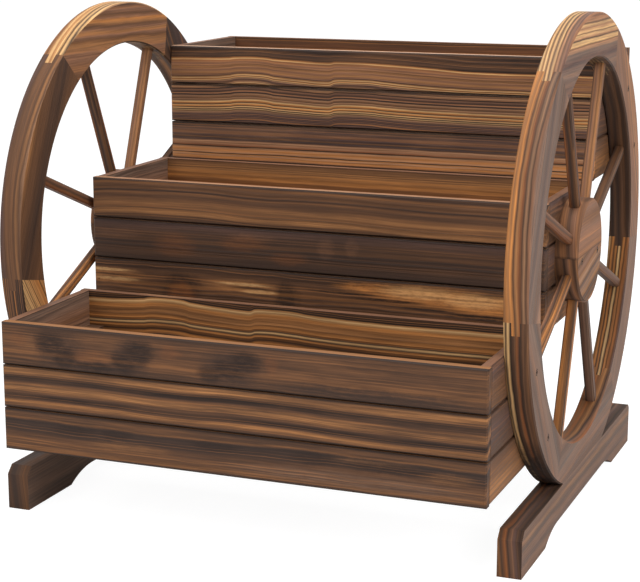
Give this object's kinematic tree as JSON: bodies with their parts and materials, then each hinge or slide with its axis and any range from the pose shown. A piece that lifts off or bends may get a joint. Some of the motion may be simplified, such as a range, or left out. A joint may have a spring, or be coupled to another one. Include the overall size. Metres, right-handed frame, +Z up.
{
  "type": "flower cart stand",
  "caption": "Stepped wooden planter stand with open slatted boxes, held between fixed wagon wheels that stand on arched foot rails.",
  "frame": {"origin": "on the floor, under the middle of the overall width and depth", "axes": "+X to the right seen from the low box's front, +Y to the back (the high box), +Z up"},
  "size_m": [0.589, 0.597, 0.546],
  "materials": {
    "wheel_wood": "matt, oiled after scorching",
    "hub_wood": "matt, oiled after scorching",
    "spoke_wood": "matt, oiled after scorching",
    "rail_wood": "matt, oiled after scorching",
    "front_board_wood": "matt, oiled after scorching",
    "wall_board_wood": "matt, oiled after scorching",
    "inner_wood": "matt, oiled after scorching",
    "dark_screw_steel": "darkened by the stain, satin"
  },
  "bodies": {
    "root": {"left_felloe_upper_back": "wheel_wood", "left_felloe_top": "wheel_wood", "left_felloe_upper_front": "wheel_wood", "left_felloe_lower_front": "wheel_wood", "left_felloe_bottom": "wheel_wood", "left_felloe_lower_back": "wheel_wood", "left_hub_upper": "hub_wood", "left_hub_lower": "hub_wood", "left_spoke_1": "spoke_wood", "left_spoke_2": "spoke_wood", "left_spoke_3": "spoke_wood", "left_spoke_4": "spoke_wood", "left_spoke_5": "spoke_wood", "left_spoke_6": "spoke_wood", "left_spoke_7": "spoke_wood", "left_spoke_8": "spoke_wood", "left_foot_rail": "rail_wood", "right_felloe_upper_back": "wheel_wood", "right_felloe_top": "wheel_wood", "right_felloe_upper_front": "wheel_wood", "right_felloe_lower_front": "wheel_wood", "right_felloe_bottom": "wheel_wood", "right_felloe_lower_back": "wheel_wood", "right_hub_upper": "hub_wood", "right_hub_lower": "hub_wood", "right_spoke_1": "spoke_wood", "right_spoke_2": "spoke_wood", "right_spoke_3": "spoke_wood", "right_spoke_4": "spoke_wood", "right_spoke_5": "spoke_wood", "right_spoke_6": "spoke_wood", "right_spoke_7": "spoke_wood", "right_spoke_8": "spoke_wood", "right_foot_rail": "rail_wood", "low_box_front_board_bottom": "front_board_wood", "low_box_front_board_middle": "front_board_wood", "low_box_front_board_top": "front_board_wood", "low_box_back_boards": "wall_board_wood", "low_box_left_boards": "wall_board_wood", "low_box_right_boards": "wall_board_wood", "low_box_inner_frame": "inner_wood", "low_box_floor_slats": "inner_wood", "middle_box_front_board_bottom": "front_board_wood", "middle_box_front_board_middle": "front_board_wood", "middle_box_front_board_top": "front_board_wood", "middle_box_back_boards": "wall_board_wood", "middle_box_left_boards": "wall_board_wood", "middle_box_right_boards": "wall_board_wood", "middle_box_inner_frame": "inner_wood", "middle_box_floor_slats": "inner_wood", "high_box_front_board_bottom": "front_board_wood", "high_box_front_board_middle": "front_board_wood", "high_box_front_board_top": "front_board_wood", "high_box_back_boards": "wall_board_wood", "high_box_left_boards": "wall_board_wood", "high_box_right_boards": "wall_board_wood", "high_box_inner_frame": "inner_wood", "high_box_floor_slats": "inner_wood", "wood_screws": "dark_screw_steel"}
  },
  "joints": []
}
